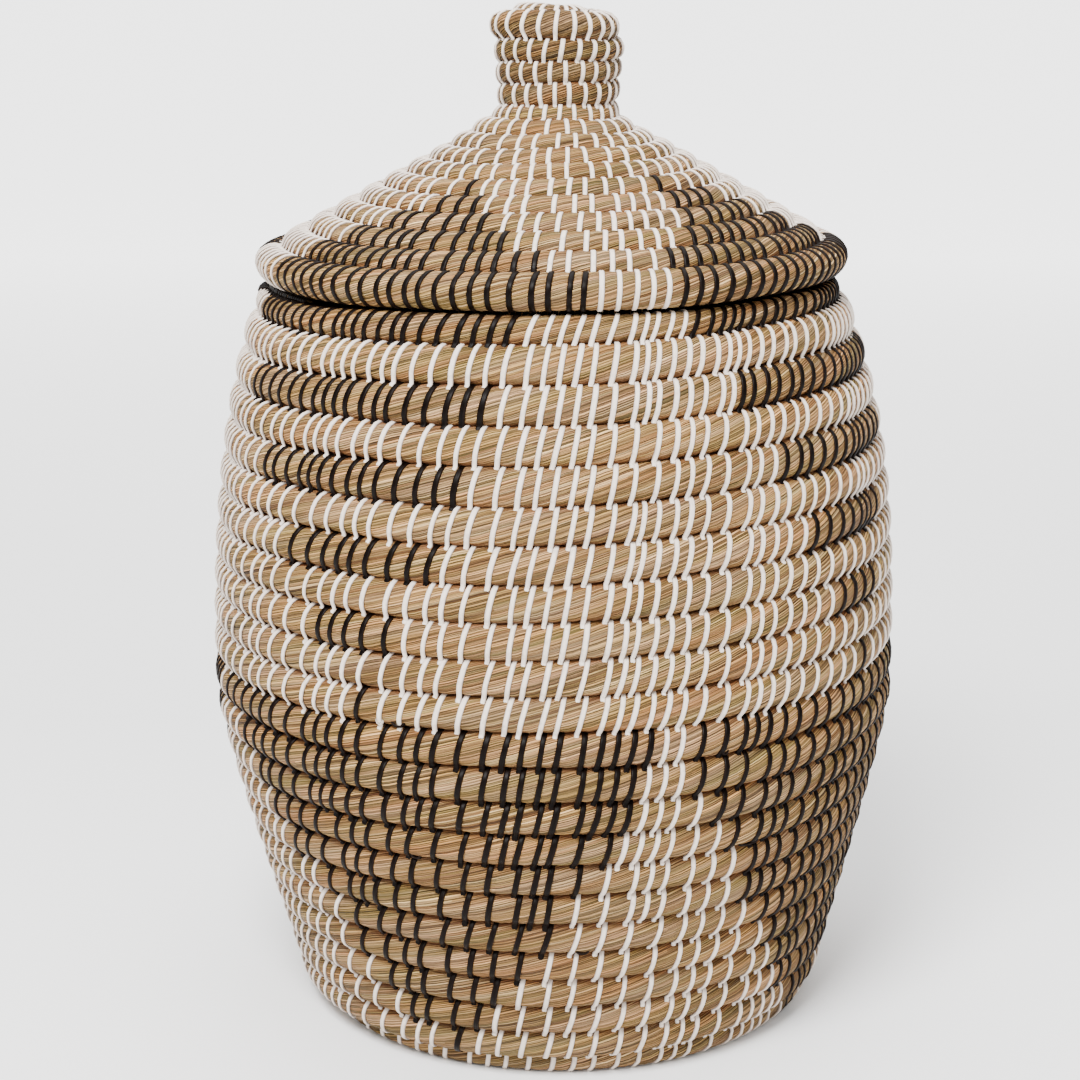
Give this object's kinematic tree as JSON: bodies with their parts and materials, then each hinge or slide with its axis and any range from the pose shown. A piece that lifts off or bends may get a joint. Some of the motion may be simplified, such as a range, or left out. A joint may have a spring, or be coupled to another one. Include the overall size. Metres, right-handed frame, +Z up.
{
  "type": "lidded basket",
  "caption": "Tall round storage basket coiled from a seagrass roll and bound with strips, with a conical lift-off lid and a coiled knob.",
  "frame": {"origin": "on the floor, under the middle of the basket", "axes": "+Z up through the knob, -Y towards the front of the picture, +X to its right"},
  "size_m": [0.401, 0.4014, 0.5886],
  "materials": {
    "seagrass": "dry seagrass stems bundled into a roll, matt to faintly waxy, tan with olive and brown",
    "white_strip": "flat white plastic strip, slightly shiny",
    "black_strip": "flat black plastic strip, slightly shiny"
  },
  "bodies": {
    "basket": {"base_coil": "seagrass", "wall_coil": "seagrass"},
    "lid": {"lid_coil": "seagrass", "knob_coil": "seagrass", "lid_collar_coil": "seagrass"}
  },
  "joints": [
    {"name": "lid_lift", "type": "slide", "parent": "basket", "child": "lid", "axis": [0, 0, 1], "range_m": [0, 0.25]}
  ]
}
